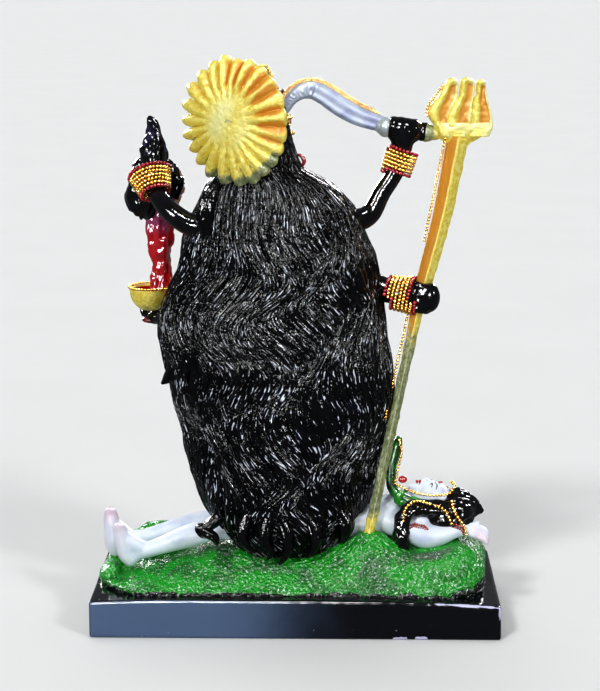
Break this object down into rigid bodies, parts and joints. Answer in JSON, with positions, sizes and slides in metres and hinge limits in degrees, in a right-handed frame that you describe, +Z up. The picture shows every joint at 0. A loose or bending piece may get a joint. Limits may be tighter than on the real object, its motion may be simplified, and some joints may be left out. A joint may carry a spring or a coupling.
{
  "type": "painted kali figure",
  "caption": "Painted cast figure of a four-armed standing goddess with long hair and raised blade, on a reclining figure over a grass mound and black plinth.",
  "frame": {"origin": "middle of the plinth's underside", "axes": "+Z up; the standing figure faces -Y, and its left hand is on the +X side"},
  "size_m": [0.178, 0.08, 0.2489],
  "materials": {
    "plinth_black": "gloss black enamel on cast resin, chipped to a pale lilac at two edges",
    "gloss_black": "wet-looking gloss black paint on cast resin",
    "grass_green": "bright green gloss paint, stippled, with dark low walls",
    "milk_white": "bluish white gloss paint, pink at the toes and palms",
    "bright_gold": "yellow gold paint with orange-brown recesses",
    "silver_blade": "silver paint with a lavender tint and shallow scrolls",
    "blood_red": "glossy dark red paint, pinkish at the top",
    "bead_gold": "bright gold beads in rows with red ones"
  },
  "bodies": {
    "root": {"plinth": "plinth_black", "grass_mound": "grass_green", "reclining_figure": "milk_white", "kali_figure": "gloss_black", "crown": "bright_gold", "sword": "silver_blade", "trident": "bright_gold", "bowl": "bright_gold", "severed_head": "blood_red", "bracelet_left_upper": "bead_gold", "bracelet_left_lower": "bead_gold", "bracelet_right_upper": "bead_gold", "bracelet_right_lower": "bead_gold", "blade_beads": "bead_gold", "bowl_beads": "bead_gold"}
  },
  "joints": []
}
